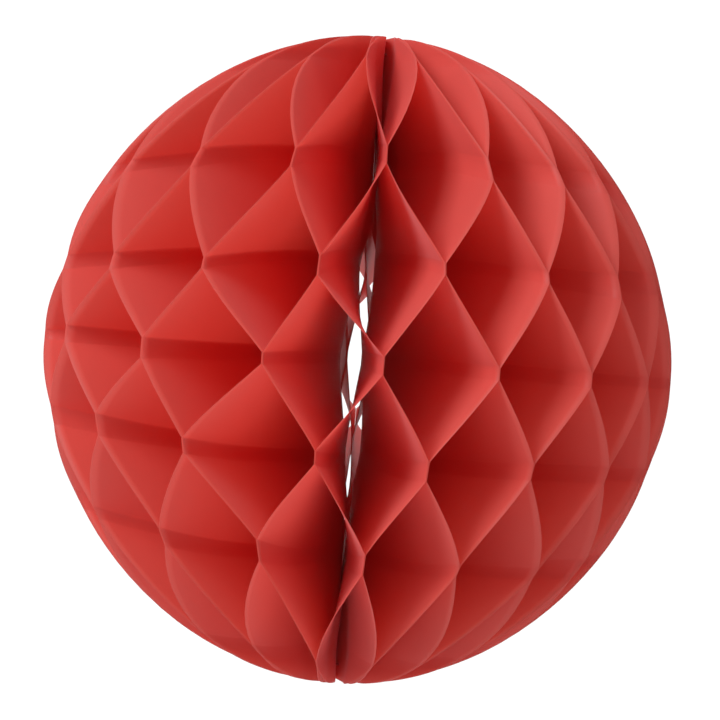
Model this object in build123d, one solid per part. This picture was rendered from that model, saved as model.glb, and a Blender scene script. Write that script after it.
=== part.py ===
from build123d import *
import os
from math import acos, cos, degrees, pi, radians, sin, sqrt

# Honeycomb paper ball, opened out. Millimetres. +Z runs up the spine, the origin is the ball's centre.
# LEAVES paper leaves stand round the spine like the pages of an opened book. Neighbouring leaves are
# gummed to each other along radial lines: even rows in every second gap, odd rows in the gaps between.
# Azimuths are counted from -Y towards +X. Gap k lies between leaf k and leaf k + 1; the first and last
# leaf meet in gap 0, which tape closes.

# Leaves
LEAVES = 36
PAPER = 0.15            # thickness of the paper
GUM = 0.06              # thickness of a gum line, and of the closing tape
HALF_HEIGHT = 100.0     # centre to pole
RIM_R = 96.4            # centre to rim at the equator
ROUNDNESS = 1.9         # exponent of the rim outline, 2.0 being an ellipse

# Gum rows
ROWS = 3                # rows above the equator, as many below, and one on it
PITCH = 30.1            # row to row along the paper
GUM_LINE = 3.6          # height of a gum line
ROW_LIFT = 1.0          # height of the middle row above the ball's centre
PAST_POLE_RIM_R = 30.0  # rim radius that the imagined rows past the poles are set by

# How evenly the ball is opened
MEAN_STEP = 360.0 / LEAVES
UNEVEN = 8.1            # degrees a gap is out of even spacing, at most
UNEVEN_PHASE = 105.2    # where round the ball the leaves crowd
FRONT_GAP = 18
FRONT_TURN = 4.3        # azimuth of the front gap

# Hollow round the spine, tight at the two bindings and widest at the equator
BINDING_CORE_R = 1.7
CORE_BOW = 13.0         # how much wider it is at the equator
CORE_REACH = 70.0       # height where the hollow has closed to the binding

# Binding threads, one loop near each pole through a hole in every leaf
THREAD_LOOP_R = 4.6
THREAD_R = 0.4
THREAD_HOLE_R = 0.75
THREAD_Z = 95.0

# Tape strips that close the ball between the first and the last leaf
TAPE_FROM_R = 30.0
TAPE_TO_R = 68.0
TAPE_ROWS = {"upper": 2, "middle": 0, "lower": -2}

# Leaves are first made oversize and then trimmed to the rim and the hollow
INNER = 1.0             # radius they are first made from
OUTER = 112.0           # radius they are first made to
TRIM_MARGIN = 8.0       # degrees that the trimming wedge reaches past the leaf on either side
RIM_SPANS = 12          # spans of the rim outline from the equator to a pole
BOW_SPANS = 6           # spans of the hollow's outline from the equator to a binding
Z_AXIS = Vector(0, 0, 1)


def azimuth(gap):
    """Azimuth of a gap's plane in degrees."""
    turn = MEAN_STEP * (gap - FRONT_GAP)
    wave = sin(radians(turn + UNEVEN_PHASE)) - sin(radians(UNEVEN_PHASE))
    return FRONT_TURN + turn + UNEVEN * wave


def step_at(gap):
    """Angle in radians from leaf to leaf near a gap, the same for the two names of the closing gap."""
    return radians(azimuth(gap + 1) - azimuth(gap - 1)) / 2.0


def row_height(row, gap, r):
    """Height of a gum row's centre line: the paper doesn't stretch, so rows draw together outwards."""
    rim = PAST_POLE_RIM_R
    if abs(row) <= ROWS:
        rim = RIM_R * sqrt(1.0 - (row * PITCH / HALF_HEIGHT) ** 2)
    slant = PITCH - GUM_LINE
    at_rim = GUM_LINE + sqrt(slant ** 2 - (rim * step_at(gap)) ** 2)
    return ROW_LIFT + row * (PITCH - (PITCH - at_rim) * r / rim)


def place(gap, r, z, off):
    """Point on a gap's plane at radius r and height z, moved off the plane along its normal."""
    a = radians(azimuth(gap))
    return Vector(r * sin(a) + off * cos(a), -r * cos(a) + off * sin(a), z)


def side_of(leaf, gap):
    """-1 where the leaf lies before the gap's plane, +1 where it lies after it."""
    return -1 if gap == leaf else 1


def gap_of(leaf, row):
    """The gap, of the leaf's two, in which this row of the leaf lies."""
    return leaf if (leaf - row) % 2 == 0 else leaf - 1


def section(leaf, row, edge):
    """Thin rectangle across the leaf along the lower (-1) or upper (+1) edge of a row."""
    gap = gap_of(leaf, row)
    centre = side_of(leaf, gap) * (PAPER + GUM) / 2.0
    near, far = centre - PAPER / 2.0, centre + PAPER / 2.0
    corners = []
    for r, off in ((INNER, near), (OUTER, near), (OUTER, far), (INNER, far)):
        z = row_height(row, gap, r) + edge * GUM_LINE / 2.0
        corners.append(place(gap, r, z, off))
    return Wire.make_polygon(corners, close=True)


def slab(gap, row, near, far, r0=INNER, r1=OUTER):
    """Flat strip in a gap's plane over the height of one row, from offset near to offset far."""
    half = GUM_LINE / 2.0
    outline = [(r0, -half), (r1, -half), (r1, half), (r0, half)]
    corners = [place(gap, r, row_height(row, gap, r) + dz, near) for r, dz in outline]
    a = radians(azimuth(gap))
    face = Face(Wire.make_polygon(corners, close=True))
    return Solid.extrude(face, Vector(cos(a), sin(a), 0) * (far - near))


def rim_point(t):
    """Point of the rim outline, t from -90 at the lower pole to 90 at the upper one."""
    power = 2.0 / ROUNDNESS
    c, s = cos(radians(t)), sin(radians(t))
    return RIM_R * c ** power, HALF_HEIGHT * abs(s) ** power * (1 if s >= 0 else -1)


def core_radius(z):
    """Radius of the hollow round the spine."""
    if abs(z) >= CORE_REACH:
        return BINDING_CORE_R
    return BINDING_CORE_R + CORE_BOW * cos(pi / 2.0 * z / CORE_REACH) ** 2


def envelope(leaf):
    """Wedge round one leaf, bounded by the rim and by the hollow."""
    top = degrees(acos((BINDING_CORE_R / RIM_R) ** (ROUNDNESS / 2.0)))
    rim = [rim_point(top * n / RIM_SPANS) for n in range(-RIM_SPANS, RIM_SPANS + 1)]
    heights = [CORE_REACH * n / BOW_SPANS for n in range(BOW_SPANS, -BOW_SPANS - 1, -1)]
    bow = [(core_radius(z), z) for z in heights]
    start = radians(azimuth(leaf - 1) - TRIM_MARGIN)
    rim = [Vector(r * sin(start), -r * cos(start), z) for r, z in rim]
    bow = [Vector(r * sin(start), -r * cos(start), z) for r, z in bow]
    edges = [
        Edge.make_spline(rim),
        Edge.make_line(rim[-1], bow[0]),
        Edge.make_spline(bow, tangents=[-Z_AXIS, -Z_AXIS]),
        Edge.make_line(bow[-1], rim[0]),
    ]
    turn = azimuth(leaf) - azimuth(leaf - 1) + 2.0 * TRIM_MARGIN
    return Solid.revolve(Face(Wire(edges)), turn, Axis.Z)


def thread_ring(z, radius):
    """Ring round the spine at one height, as thick as the thread or as the holes it runs through."""
    plane = Plane(origin=(0, 0, z), x_dir=(0, 1, 0), z_dir=(0, 0, 1))
    return Solid.make_torus(THREAD_LOOP_R, radius, plane)


def make_leaf(leaf):
    """One leaf: flat bands at the gum rows, twisted facets between them, and gum on its later face."""
    pieces = []
    for row in range(-ROWS - 1, ROWS + 1):
        facet = [section(leaf, row, 1), section(leaf, row + 1, -1)]
        pieces.append(Solid.make_loft(facet, ruled=True))
    for row in range(-ROWS, ROWS + 1):
        gap = gap_of(leaf, row)
        side = side_of(leaf, gap)
        inner, outer = side * GUM / 2.0, side * (PAPER + GUM / 2.0)
        pieces.append(slab(gap, row, min(inner, outer), max(inner, outer)))
        if side < 0 and leaf < LEAVES:
            pieces.append(slab(gap, row, -GUM / 2.0, GUM / 2.0))
    body = pieces[0].fuse(*pieces[1:])
    body = body & envelope(leaf)
    for z in (THREAD_Z, -THREAD_Z):
        body = body - thread_ring(z, THREAD_HOLE_R)
    return body


os.makedirs("parts", exist_ok=True)

for number in range(1, LEAVES + 1):
    export_step(make_leaf(number), f"parts/leaf_{number:02d}.step")

for name, row in TAPE_ROWS.items():
    strip = slab(0, row, -GUM / 2.0, GUM / 2.0, TAPE_FROM_R, TAPE_TO_R)
    export_step(strip, f"parts/closing_tape_{name}.step")

for name, z in (("top", THREAD_Z), ("bottom", -THREAD_Z)):
    export_step(thread_ring(z, THREAD_R), f"parts/binding_thread_{name}.step")
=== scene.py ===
import math
import random

import bpy
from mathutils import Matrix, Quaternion, Vector, noise


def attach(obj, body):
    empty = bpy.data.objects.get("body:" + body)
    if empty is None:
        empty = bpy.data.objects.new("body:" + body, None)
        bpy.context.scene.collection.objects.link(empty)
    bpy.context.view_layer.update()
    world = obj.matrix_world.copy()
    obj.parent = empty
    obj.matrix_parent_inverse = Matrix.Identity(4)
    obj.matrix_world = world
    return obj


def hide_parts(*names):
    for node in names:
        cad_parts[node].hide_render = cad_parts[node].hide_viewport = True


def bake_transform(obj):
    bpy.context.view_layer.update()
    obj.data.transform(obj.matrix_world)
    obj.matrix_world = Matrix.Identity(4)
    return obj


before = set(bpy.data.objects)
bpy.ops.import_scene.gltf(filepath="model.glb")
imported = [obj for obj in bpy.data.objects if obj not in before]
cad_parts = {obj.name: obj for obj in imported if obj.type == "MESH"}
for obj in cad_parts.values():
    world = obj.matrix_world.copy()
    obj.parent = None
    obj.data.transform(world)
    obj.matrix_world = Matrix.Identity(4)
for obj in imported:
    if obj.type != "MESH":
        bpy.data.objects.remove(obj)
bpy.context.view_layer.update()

MM = 0.001
rnd = random.Random(3833)

# ---- The ball's shape in millimetres and degrees, as the CAD has it except for CORE_BOW
LEAVES = 36
PAPER = 0.15            # thickness of the paper
GUM = 0.06              # thickness of a gum line
HALF_HEIGHT = 100.0     # centre to pole
RIM_R = 96.4            # centre to rim at the equator
ROUNDNESS = 1.9         # exponent of the rim outline, 2.0 being an ellipse
ROWS = 3                # rows above the equator, as many below, and one on it
PITCH = 30.1            # row to row along the paper
GUM_LINE = 3.6          # height of a gum line
ROW_LIFT = 1.0          # height of the middle row above the ball's centre
UNEVEN = 8.1            # degrees a gap is out of even spacing, at most
UNEVEN_PHASE = 105.2    # where round the ball the leaves crowd
FRONT_GAP = 18
FRONT_TURN = 4.3        # azimuth of the front gap
BINDING_CORE_R = 1.7    # radius of the hollow at the bindings
CORE_BOW = 18.0         # how much wider it is at the equator: 13 in the CAD, more here for the white gap
CORE_REACH = 70.0       # height where the hollow has closed to the binding
THREAD_LOOP_R = 4.6
THREAD_Z = 95.0
STILL_GAP = 17          # the gap that stays where it is when the ball is folded flat
CLOSED_STEP = 1.1       # degrees from leaf to leaf then

# ---- How the paper lies
CURL = 0.07             # how much a facet curls in from its gum lines rather than staying flat
CREASE = 0.015          # share of a facet in which it bends at a gum line
LINES = 8               # lines across a facet between two gum rows
POLE_LINES = 14         # lines across a facet that runs out at a pole
ACROSS = 26             # spans from the hollow to the rim
SEARCH_STEP = 2         # steps of radius in which the two ends of a line are looked for
HALVINGS = 14           # how often such a step is halved then
POLE_HALVINGS = 12      # halvings in the search for where the facet at a pole runs out
LEAST_WIDTH = 1.0       # width at which it counts as run out
MOST_SPREAD = 0.97      # share of a facet's slant that its spread sideways may take up
RIM_TURN = 0.8          # degrees a glued joint is out of place at the rim, as a rule
CORE_TURN = 2.5         # the same at the hollow, at most
CORE_FADE = 45.0        # radius where the hollow's unevenness has died away
LIFT = 0.9              # how much a glued joint is too high or too low, as a rule
TALL = (0.7, 1.7)       # lowest and highest gum line at the rim, in GUM_LINEs
POLE_TALL = (0.5, 0.9)  # the same in the outermost rows
LEAN = 11.0             # degrees all leaves lean sideways where they are bound
LEAN_FROM_R = 5.0       # radius out to which they lean fully
LEAN_TO_R = 21.0        # radius where the lean has died away
UPRIGHT_Z = -5.0        # height where they stand most upright
LEAN_FROM_Z = 32.0      # distance above or below that where the lean begins
LEAN_FULL_Z = 48.0      # distance from which it is full
WRINKLE = 0.35          # depth of the paper's soft unevenness
WRINKLE_SIZE = 24.0     # roughly how far apart its dents are
WRINKLE_FROM_R = 20.0   # radius where it begins
WRINKLE_FADE = 40.0     # distance outwards in which it comes to its full depth
LEAF_APART = 40.0       # distance in the noise between one leaf and the next
CUT_EDGE = 0.05         # thickness that the paper thins to at its cut edge


def azimuth(gap):
    """Azimuth of a gap's plane in degrees, from -Y towards +X."""
    turn = 360.0 / LEAVES * (gap - FRONT_GAP)
    wave = math.sin(math.radians(turn + UNEVEN_PHASE)) - math.sin(math.radians(UNEVEN_PHASE))
    return FRONT_TURN + turn + UNEVEN * wave


def step_at(gap):
    """Angle in radians from leaf to leaf near a gap."""
    return math.radians(azimuth(gap + 1) - azimuth(gap - 1)) / 2.0


def ease(x):
    """0 below 0, 1 above 1 and smooth between."""
    x = min(1.0, max(0.0, x))
    return x * x * (3.0 - 2.0 * x)


# Small unevenness of each glued joint, the same for the two leaves that meet there
JOINTS = {}
for gap in range(LEAVES):
    for row in range(-ROWS, ROWS + 1):
        outermost = abs(row) == ROWS
        JOINTS[gap, row] = {
            "rim turn": rnd.gauss(0.0, RIM_TURN),
            "core turn": rnd.uniform(-CORE_TURN, CORE_TURN),
            "lift": rnd.gauss(0.0, LIFT),
            "tall": rnd.uniform(*(POLE_TALL if outermost else TALL)),
        }
EVEN_JOINT = {"rim turn": 0.0, "core turn": 0.0, "lift": 0.0, "tall": 1.0}
# The first and last leaf are taped together flat
for row in range(-ROWS, ROWS + 1):
    JOINTS[0, row] = EVEN_JOINT


def row_edge(row, gap, edge, r):
    """Azimuth and height of a gum row at radius r: its lower (-1) or upper (1) edge or its middle (0)."""
    slant = PITCH - GUM_LINE
    spread = min(r * step_at(gap), MOST_SPREAD * slant)
    pitch = GUM_LINE + math.sqrt(slant ** 2 - spread ** 2)
    joint = JOINTS.get((gap % LEAVES, row), EVEN_JOINT)
    out = min(1.0, r / RIM_R)
    near = max(0.0, 1.0 - r / CORE_FADE) ** 2
    half = GUM_LINE / 2.0 * (1.0 + (joint["tall"] - 1.0) * out)
    z = ROW_LIFT + row * pitch + joint["lift"] * out + edge * half
    return azimuth(gap) + joint["rim turn"] * out + joint["core turn"] * near, z


def lean(r, z):
    """Degrees that the leaves lean sideways, as they do where the thread pulls them together."""
    inward = 1.0 - ease((r - LEAN_FROM_R) / (LEAN_TO_R - LEAN_FROM_R))
    away = abs(z - UPRIGHT_Z)
    return LEAN * inward * ease((away - LEAN_FROM_Z) / (LEAN_FULL_Z - LEAN_FROM_Z))


def rim_radius(z):
    """Radius of the rim at one height."""
    share = min(1.0, abs(z) / HALF_HEIGHT)
    return RIM_R * (1.0 - share ** ROUNDNESS) ** (1.0 / ROUNDNESS)


def core_radius(z):
    """Radius of the hollow round the spine at one height."""
    if abs(z) >= CORE_REACH:
        return BINDING_CORE_R
    return BINDING_CORE_R + CORE_BOW * math.cos(math.pi / 2.0 * z / CORE_REACH) ** 2


def gap_of(leaf, row):
    """The gap, of the leaf's two, in which this row of the leaf lies."""
    return leaf if (leaf - row) % 2 == 0 else leaf - 1


def height(leaf, line, r):
    """Height of one line across a leaf at radius r. A line is given as the row below it and how far up
    to the row above it lies; the middle of a row is halfway below it."""
    row, t = line
    if t < 0:
        return row_edge(row, gap_of(leaf, row), 0, r)[1]
    z0 = row_edge(row, gap_of(leaf, row), 1, r)[1]
    z1 = row_edge(row + 1, gap_of(leaf, row + 1), -1, r)[1]
    return z0 + (z1 - z0) * t


def on_line(leaf, line, r):
    """Azimuth, height and side offset of the leaf's middle surface on one line at radius r."""
    row, t = line
    gap = gap_of(leaf, row)
    z = height(leaf, line, r)
    off = (-1 if gap == leaf else 1) * (PAPER + GUM) / 2.0
    if t < 0:
        return row_edge(row, gap, 0, r)[0] + lean(r, z), z, off
    above = gap_of(leaf, row + 1)
    off_above = (-1 if above == leaf else 1) * (PAPER + GUM) / 2.0
    a0 = row_edge(row, gap, 1, r)[0]
    a1 = row_edge(row + 1, above, -1, r)[0]
    u = (1.0 - CURL) * t + CURL * ease(t)
    place = Vector((r, z, LEAF_APART * leaf)) / WRINKLE_SIZE
    midway = 4.0 * t * (1.0 - t)
    soft = WRINKLE * noise.noise(place) * midway * ease((r - WRINKLE_FROM_R) / WRINKLE_FADE)
    return a0 + (a1 - a0) * u + lean(r, z), z, off + (off_above - off) * u + soft


def reach(leaf, line):
    """Inner and outer radius of one line, where it meets the hollow and the rim, the same if it misses."""
    def on_leaf(r):
        z = height(leaf, line, r)
        return core_radius(z) <= r <= rim_radius(z)

    def end(off_r, on_r):
        for _ in range(HALVINGS):
            mid = (off_r + on_r) / 2.0
            off_r, on_r = (off_r, mid) if on_leaf(mid) else (mid, on_r)
        return on_r

    found = [r for r in range(SEARCH_STEP, int(RIM_R) + 1, SEARCH_STEP) if on_leaf(r)]
    if not found:
        return 0.0, 0.0
    first, last = found[0], found[-1]
    return end(max(0, first - SEARCH_STEP), first), end(last + SEARCH_STEP, last)


def pole_share(leaf, row):
    """How far the facet past the last row goes before it runs out at the pole."""
    short, far = 0.0, 1.0
    for _ in range(POLE_HALVINGS):
        mid = (short + far) / 2.0
        r_in, r_out = reach(leaf, (row, mid if row > 0 else 1.0 - mid))
        short, far = (mid, far) if r_out - r_in > LEAST_WIDTH else (short, mid)
    return short


def lines_of(leaf):
    """Every line across a leaf, bottom to top."""
    out = []
    for row in range(-ROWS - 1, ROWS + 1):
        shares = [0.0, CREASE] + [n / LINES for n in range(1, LINES)] + [1.0 - CREASE, 1.0]
        if not -ROWS <= row < ROWS:
            last = pole_share(leaf, row)
            left = [(1.0 - n / POLE_LINES) ** 2 for n in range(1, POLE_LINES + 1)]
            shares = [0.0, CREASE] + [last * (1.0 - share) for share in left]
            if row < 0:
                shares = [1.0 - share for share in reversed(shares)]
        out += [(row, share) for share in shares]
        if row < ROWS:
            out.append((row + 1, -0.5))
    return out


def closed_turn(gap):
    """Degrees that a gap's plane turns when the ball is folded flat."""
    return azimuth(STILL_GAP) - azimuth(gap) + CLOSED_STEP * (gap - STILL_GAP)


def leaf_faces(rows, across):
    """Faces of a thin closed sheet: its two sides, then the cut edge round them."""
    w = across + 1
    half = w * rows
    faces = []
    for i in range(rows - 1):
        for k in range(across):
            a = i * w + k
            faces.append((a, a + w, a + w + 1, a + 1))
            faces.append((half + a, half + a + 1, half + a + w + 1, half + a + w))
    ring = list(range(w)) + [i * w + across for i in range(1, rows)]
    ring += [(rows - 1) * w + k for k in range(across - 1, -1, -1)]
    ring += [i * w for i in range(rows - 2, 0, -1)]
    for i, a in enumerate(ring):
        b = ring[(i + 1) % len(ring)]
        faces.append((a, b, half + b, half + a))
    return faces


def add_mesh(name, verts, faces, smooth):
    """A mesh whose first faces are shaded smooth and the rest flat."""
    mesh = bpy.data.meshes.new(name)
    mesh.from_pydata(verts, [], faces)
    mesh.update()
    for face in mesh.polygons:
        face.use_smooth = face.index < smooth
    obj = bpy.data.objects.new(name, mesh)
    bpy.context.collection.objects.link(obj)
    return obj


def make_leaf(leaf):
    """One leaf, how far each point of it goes with its own body, and the area of one side in
    square metres."""
    lo, hi = azimuth(leaf - 1), azimuth(leaf)
    turn_lo, turn_hi = closed_turn(leaf - 1), closed_turn(leaf)
    own_turn = turn_hi if leaf > STILL_GAP else turn_lo
    sheet = []
    for line in lines_of(leaf):
        r_in, r_out = reach(leaf, line)
        radii = [r_in + (r_out - r_in) * n / ACROSS for n in range(ACROSS + 1)]
        sheet.append([(r,) + on_line(leaf, line, r) for r in radii])
    verts, weights = [], []
    for face in (-1, 1):
        for points in sheet:
            for k, (r, a, z, off) in enumerate(points):
                side = off + face * (CUT_EDGE if k == ACROSS else PAPER) / 2.0
                t = math.radians(a)
                x = r * math.sin(t) + side * math.cos(t)
                y = -r * math.cos(t) + side * math.sin(t)
                verts.append((MM * x, MM * y, MM * z))
                share = (a - lo) / (hi - lo)
                weights.append((turn_lo + (turn_hi - turn_lo) * share) / own_turn)
    sides = 2 * (len(sheet) - 1) * ACROSS
    obj = add_mesh(f"leaf_{leaf:02d}_paper", verts, leaf_faces(len(sheet), ACROSS), sides)
    area = sum(face.area for face in obj.data.polygons) / 2.0
    return obj, weights, area


def make_thread(name, z):
    """Two-ply thread round the spine: two thin strands wound round each other, closed into a loop."""
    verts, faces = [], []
    turns, spans, sides = 16, 160, 8
    lay = 0.21              # from the thread's middle to the middle of a strand
    strand = 0.19           # radius of a strand
    for ply in (0, 1):
        first = len(verts)
        for n in range(spans):
            t = 2.0 * math.pi * n / spans
            wind = t * turns + math.pi * ply
            ring_r = THREAD_LOOP_R + lay * math.cos(wind)
            ring_z = z + lay * math.sin(wind)
            for m in range(sides):
                s = 2.0 * math.pi * m / sides
                r = ring_r + strand * math.cos(s)
                up = ring_z + strand * math.sin(s)
                verts.append((MM * r * math.sin(t), -MM * r * math.cos(t), MM * up))
        for n in range(spans):
            a, b = first + n * sides, first + (n + 1) % spans * sides
            for m in range(sides):
                k = (m + 1) % sides
                faces.append((a + m, b + m, b + k, a + k))
    return add_mesh(name, verts, faces, len(faces))


def new_material(name):
    """A material with its nodes, its links and its main shader."""
    mat = bpy.data.materials.new(name)
    mat.use_nodes = True
    return mat, mat.node_tree.nodes, mat.node_tree.links, mat.node_tree.nodes["Principled BSDF"]


def add_noise(nodes, links, scale, detail):
    """Noise in the piece's own space, scale in cells per metre."""
    coord = nodes.new("ShaderNodeTexCoord")
    tex = nodes.new("ShaderNodeTexNoise")
    tex.inputs["Scale"].default_value = scale
    tex.inputs["Detail"].default_value = detail
    links.new(coord.outputs["Object"], tex.inputs["Vector"])
    return tex.outputs["Fac"]


def mottled(nodes, links, bsdf, scale, dark, light):
    """Base colour that drifts softly between two colours."""
    ramp = nodes.new("ShaderNodeValToRGB")
    ramp.color_ramp.elements[0].position = 0.3
    ramp.color_ramp.elements[0].color = dark
    ramp.color_ramp.elements[1].position = 0.7
    ramp.color_ramp.elements[1].color = light
    links.new(add_noise(nodes, links, scale, detail=4.0), ramp.inputs["Fac"])
    links.new(ramp.outputs["Color"], bsdf.inputs["Base Color"])


def bumpy(nodes, links, bsdf, scale, strength, depth):
    """Fine unevenness of the surface, its depth in metres."""
    bump = nodes.new("ShaderNodeBump")
    bump.inputs["Strength"].default_value = strength
    bump.inputs["Distance"].default_value = depth
    links.new(add_noise(nodes, links, scale, detail=3.0), bump.inputs["Height"])
    links.new(bump.outputs["Normal"], bsdf.inputs["Normal"])


def paper_material():
    """Matt red paper with soft mottling and fibres, which lets some light through."""
    mat, nodes, links, bsdf = new_material("red_paper")
    dark, light = (0.84, 0.080, 0.063, 1), (0.89, 0.092, 0.072, 1)
    mottled(nodes, links, bsdf, scale=45.0, dark=dark, light=light)
    bumpy(nodes, links, bsdf, scale=1400.0, strength=0.12, depth=0.0002)
    bsdf.inputs["Roughness"].default_value = 0.55
    bsdf.inputs["Specular IOR Level"].default_value = 0.4
    bsdf.inputs["Sheen Weight"].default_value = 0.22
    bsdf.inputs["Sheen Roughness"].default_value = 0.45
    bsdf.inputs["Sheen Tint"].default_value = (1.0, 0.62, 0.66, 1)
    through = nodes.new("ShaderNodeBsdfTranslucent")
    through.inputs["Color"].default_value = (0.95, 0.230, 0.190, 1)
    mix = nodes.new("ShaderNodeMixShader")
    mix.inputs["Fac"].default_value = 0.62
    links.new(bsdf.outputs["BSDF"], mix.inputs[1])
    links.new(through.outputs["BSDF"], mix.inputs[2])
    links.new(mix.outputs["Shader"], nodes["Material Output"].inputs["Surface"])
    return mat


def tape_material():
    """Thin cream tape, slightly glossy."""
    mat, nodes, links, bsdf = new_material("tape")
    dark, light = (0.70, 0.66, 0.56, 1), (0.80, 0.77, 0.68, 1)
    mottled(nodes, links, bsdf, scale=220.0, dark=dark, light=light)
    bumpy(nodes, links, bsdf, scale=900.0, strength=0.1, depth=0.0001)
    bsdf.inputs["Roughness"].default_value = 0.35
    return mat


def thread_material():
    """Red cotton thread with a fuzzy surface."""
    mat, nodes, links, bsdf = new_material("cotton_thread")
    dark, light = (0.36, 0.020, 0.018, 1), (0.55, 0.040, 0.034, 1)
    mottled(nodes, links, bsdf, scale=2500.0, dark=dark, light=light)
    bumpy(nodes, links, bsdf, scale=6000.0, strength=0.5, depth=0.0001)
    bsdf.inputs["Roughness"].default_value = 0.8
    bsdf.inputs["Sheen Weight"].default_value = 0.3
    return mat


# ---- Pieces
paper = paper_material()
for leaf in range(1, LEAVES + 1):
    obj, weights, area = make_leaf(leaf)
    obj.data.materials.append(paper)
    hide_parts(f"leaf_{leaf:02d}")
    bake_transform(obj)

thread = thread_material()
for end, z in (("top", THREAD_Z), ("bottom", -THREAD_Z)):
    loop = make_thread(f"thread_loop_{end}", z)
    loop.data.materials.append(thread)
    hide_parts(f"binding_thread_{end}")
    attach(loop, "spine")

tape = tape_material()
for level in ("upper", "middle", "lower"):
    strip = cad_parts[f"closing_tape_{level}"]
    strip.data.materials.clear()
    strip.data.materials.append(tape)

# ---- Floor, light and camera
FLOOR = 1.5             # half its width in metres
FLOOR_Z = -0.9
corners = [(x * FLOOR, y * FLOOR, FLOOR_Z) for x, y in ((-1, -1), (1, -1), (1, 1), (-1, 1))]
floor = add_mesh("floor", corners, [(0, 1, 2, 3)], 0)
floor_mat, nodes, links, bsdf = new_material("pale_floor")
bsdf.inputs["Base Color"].default_value = (0.93, 0.93, 0.93, 1)
bsdf.inputs["Roughness"].default_value = 0.9
floor.data.materials.append(floor_mat)

# A softly lit room, with a bright white backdrop behind the ball
ROOM = 0.36             # strength of the light from all round
BACKDROP = 1.15         # strength of the backdrop's
BACKDROP_FROM = 0.82    # cosine of the angle off +Y where the backdrop begins
BACKDROP_FULL = 0.93    # and from which it is full
world = bpy.data.worlds.new("studio")
bpy.context.scene.world = world
world.use_nodes = True
nodes, links = world.node_tree.nodes, world.node_tree.links
coord = nodes.new("ShaderNodeTexCoord")
split = nodes.new("ShaderNodeSeparateXYZ")
links.new(coord.outputs["Generated"], split.inputs["Vector"])
backdrop = nodes.new("ShaderNodeMapRange")
backdrop.interpolation_type = "SMOOTHSTEP"
backdrop.inputs["From Min"].default_value = BACKDROP_FROM
backdrop.inputs["From Max"].default_value = BACKDROP_FULL
backdrop.inputs["To Min"].default_value = ROOM
backdrop.inputs["To Max"].default_value = BACKDROP
links.new(split.outputs["Y"], backdrop.inputs["Value"])
links.new(backdrop.outputs["Result"], nodes["Background"].inputs["Strength"])
nodes["Background"].inputs["Color"].default_value = (1, 1, 1, 1)


def area_light(name, place, size, power):
    """A square soft light aimed at the ball."""
    data = bpy.data.lights.new(name, "AREA")
    data.size = size
    data.energy = power
    lamp = bpy.data.objects.new(name, data)
    lamp.location = place
    lamp.rotation_euler = (-Vector(place)).to_track_quat("-Z", "Y").to_euler()
    bpy.context.collection.objects.link(lamp)


area_light("key", place=(-1.15, -1.2, 1.0), size=0.9, power=29.0)
# Light passes through the paper and between the leaves many times over
BOUNCES = 24
bpy.context.scene.cycles.max_bounces = BOUNCES
bpy.context.scene.cycles.diffuse_bounces = BOUNCES

VIEW_DISTANCE = 0.456
VIEW_AZIMUTH = math.radians(0.4)
VIEW_ELEVATION = math.radians(1.2)
VIEW_ROLL = math.radians(4.5)
LENS = 72.7
SENSOR = 36.0
SHIFT = 0.0035          # moves the ball 2.5 pixels to the left in the picture
GAMMA = 1.35
camera = bpy.data.objects.new("camera", bpy.data.cameras.new("camera"))
bpy.context.collection.objects.link(camera)
back = Vector((0, -math.cos(VIEW_ELEVATION), math.sin(VIEW_ELEVATION)))
back.rotate(Quaternion((0, 0, 1), VIEW_AZIMUTH))
camera.location = back * VIEW_DISTANCE
camera.rotation_mode = "QUATERNION"
level = (-back).to_track_quat("-Z", "Y")
camera.rotation_quaternion = level @ Quaternion((0, 0, 1), VIEW_ROLL)
camera.data.sensor_width = SENSOR
camera.data.lens = LENS
camera.data.shift_x = SHIFT
bpy.context.scene.camera = camera
bpy.context.scene.view_settings.view_transform = "Standard"
bpy.context.scene.view_settings.gamma = GAMMA
